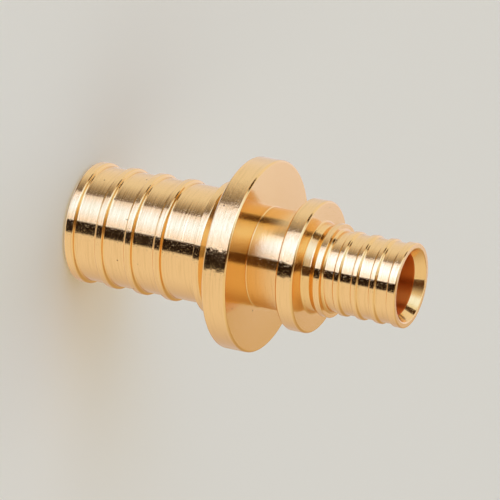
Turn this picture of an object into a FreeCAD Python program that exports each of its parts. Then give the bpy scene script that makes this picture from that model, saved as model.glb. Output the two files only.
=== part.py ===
import FreeCAD, Part
import math
import os
from collections import namedtuple

# Reducing coupling for PEX pipe, turned from one brass bar.
# A ribbed spigot for each pipe size stands out of each end, behind its own collar.
# The frame has its origin at the middle of the large spigot's end face, with +Z along the axis
# towards the small spigot. All sizes are in millimetres.

# Large spigot, for pipe of 25 x 3.5 mm. Distances run from the spigot's open end to its collar.
large_spigot_length = 29.5
large_rib_diameter = 21.1
large_land_diameter = 20.0
large_rib_count = 4
large_rib_pitch = 5.53
large_rib_width = 1.2
large_end_rib_width = 2.05
large_nose_length = 0.55
large_nose_diameter = 18.8
large_rib_ramp = 0.25
large_rib_back = 0.2
large_stop_diameter = 23.0
large_stop_width = 1.2
large_stop_slope = 0.9
large_groove_diameter = 21.6
large_groove_root_diameter = 22.4
large_groove_width = 2.15

# Small spigot, for pipe of 16 x 2.2 mm
small_spigot_length = 16.65
small_rib_diameter = 14.4
small_land_diameter = 13.7
small_rib_count = 4
small_rib_pitch = 3.22
small_rib_width = 0.87
small_end_rib_width = 1.44
small_nose_length = 0.15
small_nose_diameter = 14.2
small_rib_ramp = 0.24
small_rib_back = 0.1
small_stop_diameter = 15.95
small_stop_width = 1.1
small_stop_slope = 0.9
small_groove_diameter = 14.7
small_groove_root_diameter = 15.6
small_groove_width = 1.4

# Collars that the pipes' sleeves are pressed against, and the waist between them, filleted at the large one
large_collar_diameter = 33.0
large_collar_thickness = 4.35
small_collar_diameter = 22.6
small_collar_thickness = 3.1
collar_chamfer = 0.25
waist_diameter = 17.1
waist_length = 6.6
waist_fillet = 0.2

# Bevel at the foot of each stop ring's steep face
stop_foot = 0.3

# Stepped bore, with a countersunk mouth at each end
large_bore_diameter = 16.2
small_bore_diameter = 10.4
large_mouth_diameter = 17.6
large_mouth_depth = 1.2
small_mouth_diameter = 12.5
small_mouth_depth = 1.85
bore_step_height = 6.0
bore_step_angle = 59.0

Spigot = namedtuple(
    "Spigot",
    "length rib land count pitch width end_width nose_length nose ramp back"
    " stop stop_width stop_slope groove groove_root groove_width",
)
# A corner of the turned section, rounded to the given radius, or sharp where that is 0
Corner = namedtuple("Corner", "radius station round")

LARGE = Spigot(
    large_spigot_length,
    large_rib_diameter / 2,
    large_land_diameter / 2,
    large_rib_count,
    large_rib_pitch,
    large_rib_width,
    large_end_rib_width,
    large_nose_length,
    large_nose_diameter / 2,
    large_rib_ramp,
    large_rib_back,
    large_stop_diameter / 2,
    large_stop_width,
    large_stop_slope,
    large_groove_diameter / 2,
    large_groove_root_diameter / 2,
    large_groove_width,
)
SMALL = Spigot(
    small_spigot_length,
    small_rib_diameter / 2,
    small_land_diameter / 2,
    small_rib_count,
    small_rib_pitch,
    small_rib_width,
    small_end_rib_width,
    small_nose_length,
    small_nose_diameter / 2,
    small_rib_ramp,
    small_rib_back,
    small_stop_diameter / 2,
    small_stop_width,
    small_stop_slope,
    small_groove_diameter / 2,
    small_groove_root_diameter / 2,
    small_groove_width,
)


def sharp(radius, station):
    return Corner(radius, station, 0.0)


def rib_corners(spigot):
    """Ribs from the open end inwards: each has a short ramp for the pipe and a steep back that holds it."""
    corners = [sharp(spigot.nose, 0.0), sharp(spigot.rib, spigot.nose_length)]
    for index in range(spigot.count):
        back = spigot.end_width + index * spigot.pitch
        if index > 0:
            front = back - spigot.width
            corners.append(sharp(spigot.land, front - spigot.ramp))
            corners.append(sharp(spigot.rib, front))
        corners.append(sharp(spigot.rib, back))
        corners.append(sharp(spigot.land, back + spigot.back))
    return corners


def stop_corners(spigot):
    """Ring with a steep face that stops the pipe, and behind it the groove, which widens towards the collar."""
    groove_start = spigot.length - spigot.groove_width
    ring_end = groove_start - spigot.stop_slope
    ring_start = ring_end - spigot.stop_width
    return [
        sharp(spigot.land, ring_start - stop_foot),
        sharp(spigot.land + stop_foot, ring_start),
        sharp(spigot.stop, ring_start),
        sharp(spigot.stop, ring_end),
        sharp(spigot.groove, groove_start),
        sharp(spigot.groove_root, spigot.length),
    ]


def collar_corners(diameter, low, thickness):
    """Rim of a collar, with the edge broken on both sides."""
    radius = diameter / 2
    high = low + thickness
    return [
        sharp(radius - collar_chamfer, low),
        sharp(radius, low + collar_chamfer),
        sharp(radius, high - collar_chamfer),
        sharp(radius - collar_chamfer, high),
    ]


large_collar_low = large_spigot_length
large_collar_high = large_collar_low + large_collar_thickness
small_collar_low = large_collar_high + waist_length
small_collar_high = small_collar_low + small_collar_thickness
overall_length = small_collar_high + small_spigot_length


def outside_corners():
    """Outside of the coupling, from the large spigot's end face up to the small one's."""
    large_end = rib_corners(LARGE) + stop_corners(LARGE)
    small_end = [
        Corner(corner.radius, overall_length - corner.station, corner.round)
        for corner in reversed(rib_corners(SMALL) + stop_corners(SMALL))
    ]
    waist = [
        Corner(waist_diameter / 2, large_collar_high, waist_fillet),
        sharp(waist_diameter / 2, small_collar_low),
    ]
    return (
        large_end
        + collar_corners(large_collar_diameter, large_collar_low, large_collar_thickness)
        + waist
        + collar_corners(small_collar_diameter, small_collar_low, small_collar_thickness)
        + small_end
    )


def bore_corners():
    """Bore from the small mouth down to the large one, with a drill's cone where the sizes meet."""
    large_radius = large_bore_diameter / 2
    small_radius = small_bore_diameter / 2
    step_low = large_collar_high - bore_step_height
    step_high = step_low + (large_radius - small_radius) / math.tan(math.radians(bore_step_angle))
    return [
        sharp(small_mouth_diameter / 2, overall_length),
        sharp(small_radius, overall_length - small_mouth_depth),
        sharp(small_radius, step_high),
        sharp(large_radius, step_low),
        sharp(large_radius, large_mouth_depth),
        sharp(large_mouth_diameter / 2, 0.0),
    ]


def point(corner):
    return FreeCAD.Vector(corner.radius, 0.0, corner.station)


def rounding(before, corner, after):
    """Start, middle and end of the arc that rounds a corner, tangent to both of its sides."""
    apex = point(corner)
    to_before = point(before).sub(apex).normalize()
    to_after = point(after).sub(apex).normalize()
    half_angle = to_before.getAngle(to_after) / 2
    setback = corner.round / math.tan(half_angle)
    bisector = to_before.add(to_after).normalize()
    middle_distance = corner.round / math.sin(half_angle) - corner.round
    return (
        apex.add(to_before * setback),
        apex.add(bisector * middle_distance),
        apex.add(to_after * setback),
    )


def section_face(corners):
    """Closed face in the XZ plane through the corners, with an arc at each rounded one."""
    edges = []
    starts = []
    ends = []
    for index, corner in enumerate(corners):
        if corner.round > 0:
            before = corners[index - 1]
            after = corners[(index + 1) % len(corners)]
            start, middle, end = rounding(before, corner, after)
            edges.append(Part.Arc(start, middle, end).toShape())
        else:
            start = end = point(corner)
        starts.append(start)
        ends.append(end)
    for index, end in enumerate(ends):
        next_start = starts[(index + 1) % len(starts)]
        edges.append(Part.makeLine(end, next_start))
    wire = Part.Wire(Part.__sortEdges__(edges))
    return Part.Face(wire)


def coupling_body():
    section = section_face(outside_corners() + bore_corners())
    axis_point = FreeCAD.Vector(0, 0, 0)
    return section.revolve(axis_point, FreeCAD.Vector(0, 0, 1), 360)


os.makedirs("parts", exist_ok=True)
body = coupling_body()
body.exportStep("parts/coupling_body.step")
print("coupling_body valid", body.isValid(), "volume", round(body.Volume, 1), "length", overall_length)
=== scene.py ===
import math
from collections import namedtuple

import bpy
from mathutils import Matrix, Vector


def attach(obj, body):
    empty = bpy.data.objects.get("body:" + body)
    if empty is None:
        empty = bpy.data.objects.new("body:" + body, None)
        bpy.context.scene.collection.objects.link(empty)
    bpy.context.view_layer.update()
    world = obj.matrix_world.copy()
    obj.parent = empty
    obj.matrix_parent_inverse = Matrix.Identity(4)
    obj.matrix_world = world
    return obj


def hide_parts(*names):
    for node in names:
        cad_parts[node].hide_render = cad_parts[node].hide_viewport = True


# Turned brass reducing coupling, standing on its large end on a plain pale floor.
# Lengths are in metres, with the origin at the middle of the large end face and +Z along the axis.
# Azimuths are in degrees about the axis, from the camera's side towards +X. Elevations are in degrees
# above the floor. Two numbers in brackets are where a soft change starts and where it is complete.
MM = 0.001

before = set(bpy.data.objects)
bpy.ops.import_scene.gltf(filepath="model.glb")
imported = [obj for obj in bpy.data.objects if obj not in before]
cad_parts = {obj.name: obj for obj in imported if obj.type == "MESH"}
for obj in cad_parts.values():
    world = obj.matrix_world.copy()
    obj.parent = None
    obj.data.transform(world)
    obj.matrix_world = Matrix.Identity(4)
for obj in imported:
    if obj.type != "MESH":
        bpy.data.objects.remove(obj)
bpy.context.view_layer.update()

# The turned skin's points round the axis
turn_steps = 288

# Arcs at the outline's corners: their radii, the steps in each, and the share of a side that an arc may take.
# A corner turns by corner_turn or more, and counts as square from square_turn on.
corner_radius = 0.3 * MM
square_corner_radius = 0.08 * MM
corner_steps = 4
corner_share = 0.4
corner_turn = math.radians(12)
square_turn = math.radians(80)

# Camera of the photograph, by the place of the axis point at the large collar's front face
picture_pixels = 500
focal_pixels = 3149.5
camera_tilt = math.radians(23.412)
camera_roll = math.radians(11.377)
collar_face_height = 33.85 * MM
collar_face_right = 2.974 * MM
collar_face_down = 1.154 * MM
collar_face_depth = 531.2 * MM
sensor_width = 36.0
nearest_seen = 10 * MM

# Regions of the brass, by height on the axis and by radius
large_spigot_top = 29.4 * MM
waist_low, waist_high = 33.9 * MM, 40.4 * MM
waist_outside = 8.7 * MM
large_rim_inside = 15.5 * MM
small_rim_inside, small_rim_low = 11.0 * MM, 40.5 * MM
large_bore_outside, large_bore_top = 8.3 * MM, 30 * MM
small_bore_outside = 5.3 * MM

# Turning marks, by their pitch across the marks and their length. The depths are in units of the relief.
# Across the marks, a rise along the axis counts as rise_share of the same change in radius.
relief = 0.006 * MM
fine_pitch, fine_length = 0.16 * MM, 9 * MM
broad_pitch, broad_length, broad_depth = 0.7 * MM, 14 * MM, 1.2
coarse_pitch, coarse_length, coarse_depth = 0.36 * MM, 12 * MM, 4.0
# Darker lines along the marks are painted shade in the tool's grooves: their pitch, length and strength, and
# the noise range that draws them.
groove_shade_pitch, groove_shade_length, groove_shade_share = 0.30 * MM, 6 * MM, 0.45
groove_shade_noise = (0.50, 0.34)
depth_on_flats = 0.15
rise_share = 0.83

# Dents, hollows on the rims, and dark spots. A scale is in cells a metre, and a reach is in cells.
dent_scale, dent_depth = 4200.0, 0.8
dent_noise = (0.60, 0.72)
hollow_scale, hollow_depth = 1100.0, 4.0
pit_scale, pit_reach = 300.0, 0.05
speck_scale, speck_reach = 700.0, 0.09
spotless_share = 0.8

# Finish of the brass. The lines' colour is painted shade in the turning grooves, and the bore's deep red is
# painted shade from light bouncing inside it.
brass_colour = (0.93, 0.60, 0.215, 1.0)
groove_shade_colour = (0.84, 0.52, 0.17, 1.0)
spot_colour = (0.20, 0.11, 0.04, 1.0)
# Deep red of the bore: painted shade from light bouncing round inside it
bore_shade_colour = (0.96, 0.25, 0.03, 1.0)
flat_roughness = 0.12
wall_roughness_added, waist_roughness_added, bore_roughness_added = 0.02, 0.06, 0.40
quarter_turn = 0.25

# Studio seen in the brass: the light's colour in each part of it
left_tent_light = (0.87, 0.90, 1.15, 1.0)
right_tent_light = (0.88, 0.85, 1.02, 1.0)
high_left_tent_light = (0.93, 0.95, 1.12, 1.0)
high_right_tent_light = (0.86, 0.82, 0.86, 1.0)
behind_light = (0.945, 0.975, 1.41, 1.0)
far_left_light = (0.78, 0.76, 0.82, 1.0)
far_right_light = (0.64, 0.56, 0.58, 1.0)
high_far_right_light = (0.54, 0.41, 0.27, 1.0)
right_rear_light = (0.635, 0.485, 0.29, 1.0)
softbox_edge_light = (0.90, 0.94, 1.58, 1.0)
softbox_middle_light = (0.98, 1.33, 2.90, 1.0)
softbox_hot_edge_light = (2.80, 3.40, 7.00, 1.0)
softbox_hot_middle_light = (2.40, 4.40, 12.5, 1.0)
softbox_high_edge_light = (0.93, 1.03, 1.28, 1.0)
softbox_high_middle_light = (1.03, 1.38, 2.40, 1.0)
softbox_corner_light = (0.86, 0.82, 0.86, 1.0)
reflector_light = (2.30, 1.28, 0.32, 1.0)
slot_light = (0.015, 0.008, 0.006, 1.0)
high_slot_light = (0.11, 0.06, 0.04, 1.0)
shade_light = (0.12, 0.09, 0.08, 1.0)
flag_light = (0.08, 0.05, 0.03, 1.0)
left_ground_light = (1.00, 1.30, 2.60, 1.0)
far_ground_light = (0.42, 0.36, 0.32, 1.0)
right_ground_light = (0.90, 0.90, 1.15, 1.0)

# Heights that more than one part of the studio changes over
high_heights = (-15.0, 5.0)
upper_heights = (0.0, 22.0)
below_top_heights = (65.0, 45.0)

# Tent: the sides where its tone changes, and the heights of its light behind the object
right_side = (0.0, 40.0)
far_right_side = (75.0, 150.0)
right_rear_side = (155.0, 172.0)
far_left_side = (-130.0, -155.0)
behind_side, behind_heights = (-135.0, -150.0), (-10.0, 10.0)

# Softbox, with a hot band across it and a weak upper corner. An edge is how far a soft change reaches to
# each side of its place. A lean is in degrees of azimuth for each degree of elevation.
softbox_from, softbox_brightest, softbox_to = -52.0, -25.0, 4.0
softbox_edge, softbox_high_edge = 0.5, 2.0
softbox_base, softbox_base_edge = -56.0, 4.0
softbox_lean, lean_base = 0.6, -20.0
hot_low, hot_high, hot_edge = -16.0, -5.0, 5.0
hot_side = (-56.0, -40.0)
corner_lean, corner_lean_top = 1.4, 26.0
corner_side, corner_heights = (-10.0, 10.0), (-5.0, 12.0)

# Shade, warm reflector and flag beyond the softbox's far edge, which they reach under
beside_overlap = 10.0
shade_side = (-96.0, -50.0)
shade_lean, shade_middle = 1.6, -25.0
reflector_low, reflector_high, reflector_edge = -10.0, 5.0, 4.0
reflector_side = (-86.0, -76.0)
flag_side = (-78.0, -71.0)
flag_heights = (54.0, 46.0)

# Slot beyond the softbox's near edge, and the ground, whose sides are in the sideways part of a direction
slot_to, slot_edge = 28.0, 2.0
high_slot_side, high_slot_heights = (-36.0, 8.0), (1.0, 31.0)
ground_heights = (-46.0, -60.0)
right_ground_side = (-0.15, 0.15)
far_ground_side = (-0.27, -0.40)

# Stage that the camera sees
floor_colour = (0.90, 0.86, 0.64, 1.0)
floor_roughness = 0.9
backdrop_light = (0.67, 0.66, 0.625, 1.0)
floor_radius, wall_height = 3.0, 3.0
stage_steps = 96


def section_points(node):
    """Closed outline of the turned section, read from the frame's mesh in the half-plane y = 0, x > 0."""
    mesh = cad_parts[node].data
    tolerance = 0.001 * MM

    def in_section(vertex):
        return abs(vertex.co.y) < tolerance and vertex.co.x > 0

    def key(vertex):
        return (round(vertex.co.x / tolerance), round(vertex.co.z / tolerance))

    neighbours = {key(v): set() for v in mesh.vertices if in_section(v)}
    for edge in mesh.edges:
        a, b = (mesh.vertices[i] for i in edge.vertices)
        if in_section(a) and in_section(b) and key(a) != key(b):
            neighbours[key(a)].add(key(b))
            neighbours[key(b)].add(key(a))
    join_flat_faces(neighbours)
    start = min(neighbours, key=lambda p: (p[1], -p[0]))
    previous, here = start, max(neighbours[start], key=lambda p: p[1])
    walk = [start]
    while here != start:
        walk.append(here)
        onwards = [p for p in neighbours[here] if p != previous]
        previous, here = here, onwards[0]
    return [Vector((r * tolerance, z * tolerance)) for r, z in walk]


def join_flat_faces(neighbours):
    """Joins the open ends at one height in pairs: the flat ring faces have no edge along the section."""
    open_ends = sorted((p for p in neighbours if len(neighbours[p]) == 1), key=lambda p: (p[1], p[0]))
    for a, b in zip(open_ends[0::2], open_ends[1::2]):
        neighbours[a].add(b)
        neighbours[b].add(a)


def outward(a, b):
    """Unit normal of the stretch from a to b, where the outline runs up the outside."""
    along = (b - a).normalized()
    return Vector((along.y, -along.x))


def rounded_outline(points):
    """(point, normal) pairs of the outline, with a small arc in place of each sharp corner."""
    pairs = []
    for index, corner in enumerate(points):
        before, after = points[index - 1], points[(index + 1) % len(points)]
        n_before, n_after = outward(before, corner), outward(corner, after)
        l_before, l_after = (corner - before).length, (after - corner).length
        turn = n_before.angle(n_after)
        if turn < corner_turn:
            pairs.append((corner, (n_before * l_before + n_after * l_after).normalized()))
            continue
        wanted = corner_radius if turn < square_turn else square_corner_radius
        reach = min(wanted * math.tan(turn / 2), corner_share * min(l_before, l_after))
        radius = reach / math.tan(turn / 2)
        start = corner + (before - corner).normalized() * reach
        convex = n_before.cross(n_after) > 0
        side = 1 if convex else -1
        centre = start - n_before * radius * side
        for step in range(corner_steps + 1):
            normal = n_before.slerp(n_after, step / corner_steps)
            pairs.append((centre + normal * radius * side, normal))
    return pairs


def turned_mesh(name, outline):
    """Mesh of revolution about Z with exact normals."""
    angles = [2 * math.pi * i / turn_steps for i in range(turn_steps)]
    rim = [(math.cos(a), math.sin(a)) for a in angles]
    verts = [(p.x * c, p.x * s, p.y) for p, n in outline for c, s in rim]
    normals = [(n.x * c, n.x * s, n.y) for p, n in outline for c, s in rim]
    faces = []
    for row in range(len(outline)):
        low = row * turn_steps
        high = (row + 1) % len(outline) * turn_steps
        for i in range(turn_steps):
            j = (i + 1) % turn_steps
            faces.append((low + i, low + j, high + j, high + i))
    mesh = bpy.data.meshes.new(name)
    mesh.from_pydata(verts, [], faces)
    mesh.shade_smooth()
    mesh.normals_split_custom_set_from_vertices(normals)
    mesh.update()
    return mesh


class Nodes:
    """Short calls for a node tree. Values are numbers, colours or the outputs of other nodes."""

    def __init__(self, tree):
        self.tree = tree
        tree.nodes.clear()

    def add(self, kind, inputs=(), **settings):
        node = self.tree.nodes.new(kind)
        for name, value in settings.items():
            setattr(node, name, value)
        for socket, value in dict(inputs).items():
            self.set(node.inputs[socket], value)
        return node

    def set(self, socket, value):
        if isinstance(value, bpy.types.NodeSocket):
            self.tree.links.new(value, socket)
        else:
            socket.default_value = value

    def math(self, operation, a, b=0.0):
        return self.add("ShaderNodeMath", {0: a, 1: b}, operation=operation).outputs[0]

    def plus(self, a, b):
        return self.math("ADD", a, b)

    def minus(self, a, b):
        return self.math("SUBTRACT", a, b)

    def times(self, a, *factors):
        for factor in factors:
            a = self.math("MULTIPLY", a, factor)
        return a

    def below(self, value, limit):
        """1 where the value is below the limit, or else 0."""
        return self.math("LESS_THAN", value, limit)

    def above(self, value, limit):
        """1 where the value is above the limit, or else 0."""
        return self.math("GREATER_THAN", value, limit)

    def step(self, value, start, end):
        """0 up to start and 1 from end on, in the direction from start to end, and smooth between them."""
        inputs = {"Value": value, "From Min": start, "From Max": end}
        return self.add("ShaderNodeMapRange", inputs, interpolation_type="SMOOTHSTEP").outputs[0]

    def edge(self, value, place, softness):
        """0 below the place and 1 above it, and smooth over the softness on both sides."""
        return self.step(value, place - softness, place + softness)

    def band(self, value, low, high, softness):
        """1 between low and high and 0 outside them, with both edges smooth."""
        return self.minus(self.edge(value, low, softness), self.edge(value, high, softness))

    def noise(self, vector, scale, detail):
        return self.add("ShaderNodeTexNoise", {"Vector": vector, "Scale": scale, "Detail": detail}).outputs[0]

    def mix(self, share, a, b):
        """Colour a where the share is 0, and colour b where it is 1."""
        node = self.add("ShaderNodeMix", data_type="RGBA")
        self.set(node.inputs["Factor"], share)
        self.set(node.inputs[6], a)
        self.set(node.inputs[7], b)
        return node.outputs[2]


def new_material(name):
    """Material and the short calls for its emptied node tree."""
    material = bpy.data.materials.new(name)
    material.use_nodes = True
    return material, Nodes(material.node_tree)


# A direction in the studio. Leaning is its azimuth with the lean of the softbox's far edge taken out.
# High and upper go softly from 0 to 1 as the elevation grows, and below_top does as it falls.
Sky = namedtuple("Sky", "sideways azimuth leaning elevation high upper below_top")


def sky_nodes(n):
    generated = n.add("ShaderNodeTexCoord").outputs["Generated"]
    x, y, z = n.add("ShaderNodeSeparateXYZ", {0: generated}).outputs
    azimuth = n.math("DEGREES", n.math("ARCTAN2", x, n.times(y, -1.0)))
    elevation = n.math("DEGREES", n.math("ARCSINE", z))
    lean = n.times(n.math("MAXIMUM", n.minus(elevation, lean_base), 0.0), softbox_lean)
    return Sky(
        sideways=x,
        azimuth=azimuth,
        leaning=n.plus(azimuth, lean),
        elevation=elevation,
        high=n.step(elevation, *high_heights),
        upper=n.step(elevation, *upper_heights),
        below_top=n.step(elevation, *below_top_heights),
    )


def tent(n, sky):
    """White tent, a little warmer on the right and dimmer far round on both sides, with other tones high up
    and a cool light behind the object on the left."""
    right = n.step(sky.azimuth, *right_side)
    low = n.mix(right, left_tent_light, right_tent_light)
    high = n.mix(right, high_left_tent_light, high_right_tent_light)
    colour = n.mix(sky.high, low, high)
    far_right = n.times(n.step(sky.azimuth, *far_right_side), sky.below_top)
    colour = n.mix(far_right, colour, n.mix(sky.high, far_right_light, high_far_right_light))
    right_rear = n.times(n.step(sky.azimuth, *right_rear_side), sky.below_top)
    colour = n.mix(right_rear, colour, right_rear_light)
    colour = n.mix(n.step(sky.azimuth, *far_left_side), colour, far_left_light)
    behind = n.times(n.step(sky.azimuth, *behind_side), n.step(sky.elevation, *behind_heights))
    return n.mix(n.times(behind, sky.below_top), colour, behind_light)


def beside_softbox(n, sky, colour):
    """Low down a soft shade that leans, above it a warm reflector, and higher up a dark flag."""
    beside = n.below(sky.leaning, softbox_from + beside_overlap)
    shade_shift = n.times(n.minus(sky.elevation, shade_middle), shade_lean)
    shade = n.step(n.minus(sky.azimuth, shade_shift), *shade_side)
    colour = n.mix(n.times(beside, shade, n.minus(1.0, sky.high)), colour, shade_light)
    reflector = n.band(sky.elevation, reflector_low, reflector_high, reflector_edge)
    reflector = n.times(beside, reflector, n.step(sky.azimuth, *reflector_side))
    colour = n.mix(reflector, colour, reflector_light)
    flag = n.times(beside, n.step(sky.leaning, *flag_side), sky.high, n.step(sky.elevation, *flag_heights))
    return n.mix(flag, colour, flag_light)


def past_near_edge(n, sky):
    """0 on the softbox and 1 beyond its near edge, where the slot starts."""
    return n.edge(sky.azimuth, softbox_to, softbox_edge)


def softbox(n, sky, colour):
    """Softbox, brightest along its middle, with a hot band across it and a weak upper corner beside the slot.
    Its far edge leans outwards and is softer higher up."""
    softness = n.plus(softbox_edge, n.times(sky.high, softbox_high_edge - softbox_edge))
    far_edge = n.step(sky.leaning, n.minus(softbox_from, softness), n.plus(softbox_from, softness))
    above_base = n.edge(sky.elevation, softbox_base, softbox_base_edge)
    lit = n.times(n.minus(far_edge, past_near_edge(n, sky)), above_base)
    middle = n.minus(n.step(sky.leaning, softbox_from, softbox_brightest),
                     n.step(sky.azimuth, softbox_brightest, softbox_to))
    edge_light = n.mix(sky.upper, softbox_edge_light, softbox_high_edge_light)
    middle_light = n.mix(sky.upper, softbox_middle_light, softbox_high_middle_light)
    hot_light = n.mix(middle, softbox_hot_edge_light, softbox_hot_middle_light)
    hot = n.times(n.band(sky.elevation, hot_low, hot_high, hot_edge), n.step(sky.azimuth, *hot_side))
    light = n.mix(hot, n.mix(middle, edge_light, middle_light), hot_light)
    corner_height = n.math("MINIMUM", n.math("MAXIMUM", sky.elevation, 0.0), corner_lean_top)
    corner_azimuth = n.plus(sky.azimuth, n.times(corner_height, corner_lean))
    corner = n.times(n.step(corner_azimuth, *corner_side), n.step(sky.elevation, *corner_heights))
    return n.mix(lit, colour, n.mix(corner, light, softbox_corner_light))


def dark_slot(n, sky, colour):
    """Dark slot beside the softbox, which reaches over the softbox higher up."""
    slot_end = n.edge(sky.azimuth, slot_to, slot_edge)
    low_slot = n.minus(past_near_edge(n, sky), slot_end)
    high_slot = n.minus(n.step(sky.azimuth, *high_slot_side), slot_end)
    high_slot = n.times(high_slot, n.step(sky.elevation, *high_slot_heights))
    slot = n.math("MAXIMUM", high_slot, low_slot)
    return n.mix(slot, colour, n.mix(sky.upper, slot_light, high_slot_light))


def bright_ground(n, sky, colour):
    """Bright ground below, bluer on the softbox's side and dim beyond that."""
    ground = n.mix(n.step(sky.sideways, *right_ground_side), left_ground_light, right_ground_light)
    ground = n.mix(n.step(sky.sideways, *far_ground_side), ground, far_ground_light)
    return n.mix(n.step(sky.elevation, *ground_heights), colour, ground)


def studio_world():
    world = bpy.data.worlds.new("studio")
    bpy.context.scene.world = world
    world.use_nodes = True
    n = Nodes(world.node_tree)
    sky = sky_nodes(n)
    colour = tent(n, sky)
    for studio_part in (beside_softbox, softbox, dark_slot, bright_ground):
        colour = studio_part(n, sky, colour)
    background = n.add("ShaderNodeBackground", {"Color": colour, "Strength": 1.0})
    n.add("ShaderNodeOutputWorld", {"Surface": background.outputs[0]})


# A place on the brass. Across changes over the turning marks, on the walls and on the flat faces alike.
# On_walls is 1 on the walls and 0 on the flat faces.
Skin = namedtuple("Skin", "place x y z radius across on_walls on_large_spigot")


def skin_nodes(n):
    coordinates = n.add("ShaderNodeTexCoord").outputs
    place = coordinates["Object"]
    x, y, z = n.add("ShaderNodeSeparateXYZ", {0: place}).outputs
    normal_z = n.add("ShaderNodeSeparateXYZ", {0: coordinates["Normal"]}).outputs[2]
    radius = n.math("SQRT", n.plus(n.times(x, x), n.times(y, y)))
    return Skin(
        place=place,
        x=x,
        y=y,
        z=z,
        radius=radius,
        across=n.plus(radius, n.times(z, rise_share)),
        on_walls=n.minus(1.0, n.math("ABSOLUTE", normal_z)),
        on_large_spigot=n.below(z, large_spigot_top),
    )


def marks(n, skin, pitch, length, detail=2.0):
    """Noise drawn out round the axis, by its pitch across the marks and their length."""
    parts = {
        0: n.math("DIVIDE", skin.x, length),
        1: n.math("DIVIDE", skin.y, length),
        2: n.math("DIVIDE", skin.across, pitch),
    }
    return n.noise(n.add("ShaderNodeCombineXYZ", parts).outputs[0], 1.0, detail)


def spots(n, skin, scale, reach):
    """Small round spots in some cells of a loose grid, where the spotless share of the cells has none."""
    cells = n.add("ShaderNodeTexVoronoi", {"Vector": skin.place, "Scale": scale}).outputs
    chance = n.add("ShaderNodeSeparateColor", {0: cells["Color"]}).outputs[0]
    return n.times(n.below(cells["Distance"], reach), n.above(chance, spotless_share))


def brass_relief(n, skin):
    """Turning marks, coarsest on the large spigot and weak on the flat faces, with dents and uneven rims."""
    fine = marks(n, skin, fine_pitch, fine_length, detail=1.0)
    broad = n.times(marks(n, skin, broad_pitch, broad_length), broad_depth)
    coarse = n.times(marks(n, skin, coarse_pitch, coarse_length), skin.on_large_spigot, coarse_depth)
    turned = n.plus(n.plus(fine, broad), coarse)
    turned = n.times(turned, n.plus(n.times(skin.on_walls, 1.0 - depth_on_flats), depth_on_flats))
    dents = n.step(n.noise(skin.place, dent_scale, detail=1.0), *dent_noise)
    large_rim = n.above(skin.radius, large_rim_inside)
    small_rim = n.times(n.above(skin.radius, small_rim_inside), n.above(skin.z, small_rim_low))
    rims = n.times(n.math("MAXIMUM", large_rim, small_rim), skin.on_walls)
    hollows = n.times(n.noise(skin.place, hollow_scale, detail=2.0), rims, hollow_depth)
    return n.plus(n.minus(turned, n.times(dents, dent_depth)), hollows)


def brass_tone(n, skin, bore):
    """Brass with darker lines on the walls as painted shade in the turning grooves, small pits, specks on the
    large spigot, and a darker, redder bore as painted shade of light bouncing inside it.
    """
    # Darker lines along the turning marks: painted shade in the tool's grooves
    lines = n.step(marks(n, skin, groove_shade_pitch, groove_shade_length, detail=3.0), *groove_shade_noise)
    groove_shade = n.times(lines, skin.on_walls, groove_shade_share)
    colour = n.mix(groove_shade, brass_colour, groove_shade_colour)
    pits = spots(n, skin, pit_scale, pit_reach)
    specks = n.times(spots(n, skin, speck_scale, speck_reach), skin.on_large_spigot)
    colour = n.mix(n.math("MAXIMUM", pits, specks), colour, spot_colour)
    # The bore's deep red is painted shade from light bouncing round inside it
    return n.mix(bore, colour, bore_shade_colour)


def brass_roughness(n, skin, bore):
    """The walls are drawn out a little more than the flat faces, the waist more still, and the bore most."""
    between_collars = n.times(n.above(skin.z, waist_low), n.below(skin.z, waist_high))
    waist = n.times(between_collars, n.below(skin.radius, waist_outside))
    roughness = n.plus(flat_roughness, n.times(skin.on_walls, wall_roughness_added))
    roughness = n.plus(roughness, n.times(waist, waist_roughness_added))
    return n.plus(roughness, n.times(bore, bore_roughness_added))


def brass_material():
    """Turned brass: reflections sharp round the axis and drawn out along it, with fine marks of the tool."""
    material, n = new_material("brass")
    skin = skin_nodes(n)
    small_bore = n.below(skin.radius, small_bore_outside)
    large_bore = n.times(n.below(skin.radius, large_bore_outside), n.below(skin.z, large_bore_top))
    bore = n.math("MAXIMUM", small_bore, large_bore)
    bump = n.add("ShaderNodeBump", {"Strength": 1.0, "Distance": relief, "Height": brass_relief(n, skin)})
    tangent = n.add("ShaderNodeTangent", direction_type="RADIAL", axis="Z")
    shader = n.add("ShaderNodeBsdfPrincipled", {
        "Base Color": brass_tone(n, skin, bore),
        "Metallic": 1.0,
        "Roughness": brass_roughness(n, skin, bore),
        "Anisotropic": 1.0,
        "Anisotropic Rotation": quarter_turn,
        "Tangent": tangent.outputs[0],
        "Normal": bump.outputs[0],
    })
    n.add("ShaderNodeOutputMaterial", {"Surface": shader.outputs[0]})
    return material


def floor_material():
    material, n = new_material("floor")
    shader = n.add("ShaderNodeBsdfPrincipled", {
        "Base Color": floor_colour,
        "Roughness": floor_roughness,
        "Specular IOR Level": 0.0,
    })
    n.add("ShaderNodeOutputMaterial", {"Surface": shader.outputs[0]})
    return material


def backdrop_material():
    """Plain pale backdrop in the tone that the floor has in the studio's light."""
    material, n = new_material("backdrop")
    shader = n.add("ShaderNodeEmission", {"Color": backdrop_light, "Strength": 1.0})
    n.add("ShaderNodeOutputMaterial", {"Surface": shader.outputs[0]})
    return material


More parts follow.
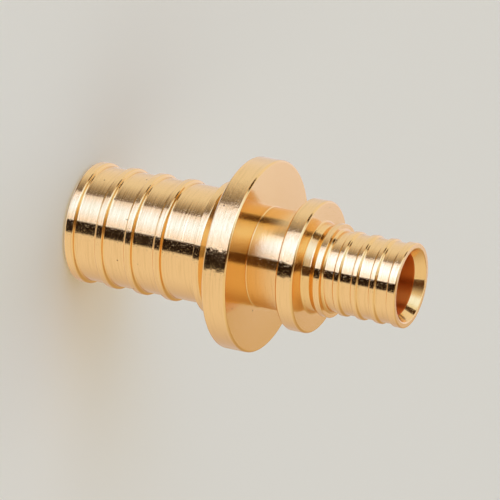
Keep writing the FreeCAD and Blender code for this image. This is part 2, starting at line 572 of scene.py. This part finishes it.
def stage_ring(name, outline, material):
    """Surface of revolution for the stage, which the camera sees and the brass doesn't."""
    angles = [2 * math.pi * i / stage_steps for i in range(stage_steps)]
    verts = [(r * math.cos(a), r * math.sin(a), z) for r, z in outline for a in angles]
    faces = []
    for low in range(0, (len(outline) - 1) * stage_steps, stage_steps):
        high = low + stage_steps
        for i in range(stage_steps):
            j = (i + 1) % stage_steps
            faces.append((low + i, high + i, high + j, low + j))
    mesh = bpy.data.meshes.new(name)
    mesh.from_pydata(verts, [], faces)
    mesh.materials.append(material)
    ring = bpy.data.objects.new(name, mesh)
    bpy.context.scene.collection.objects.link(ring)
    # The brass shows the studio all round it, and the stage takes none of its light away
    ring.visible_glossy = False
    ring.visible_diffuse = False
    ring.visible_shadow = False


def stage():
    stage_ring("floor", [(0.0, 0.0), (floor_radius, 0.0)], floor_material())
    stage_ring("backdrop", [(floor_radius, 0.0), (floor_radius, wall_height)], backdrop_material())


def photo_camera():
    """Camera over the near side, looking down on the small end, rolled so that the axis runs across."""
    up = Vector((0, math.sin(camera_tilt), math.cos(camera_tilt)))
    side = Vector((1, 0, 0))
    forward = Vector((0, math.cos(camera_tilt), -math.sin(camera_tilt)))
    right = math.cos(camera_roll) * up - math.sin(camera_roll) * side
    down = math.sin(camera_roll) * up + math.cos(camera_roll) * side
    aim = Vector((0, 0, collar_face_height))
    place = aim - collar_face_right * right - collar_face_down * down - collar_face_depth * forward
    data = bpy.data.cameras.new("camera")
    data.sensor_width = sensor_width
    data.lens = sensor_width * focal_pixels / picture_pixels
    data.clip_start = nearest_seen
    camera = bpy.data.objects.new("camera", data)
    bpy.context.scene.collection.objects.link(camera)
    rotation = camera.matrix_world.to_3x3()
    rotation.col[0] = right
    rotation.col[1] = -down
    rotation.col[2] = -forward
    camera.matrix_world = rotation.to_4x4()
    camera.location = place
    bpy.context.scene.camera = camera


def coupling():
    """The coupling's turned skin, which stands for the frame's solid."""
    outline = rounded_outline(section_points("coupling_body"))
    piece = bpy.data.objects.new("turned_coupling", turned_mesh("turned_coupling", outline))
    bpy.context.scene.collection.objects.link(piece)
    piece.data.materials.append(brass_material())
    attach(piece, "root")
    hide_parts("coupling_body")


coupling()
stage()
studio_world()
photo_camera()
bpy.context.scene.view_settings.view_transform = "Standard"
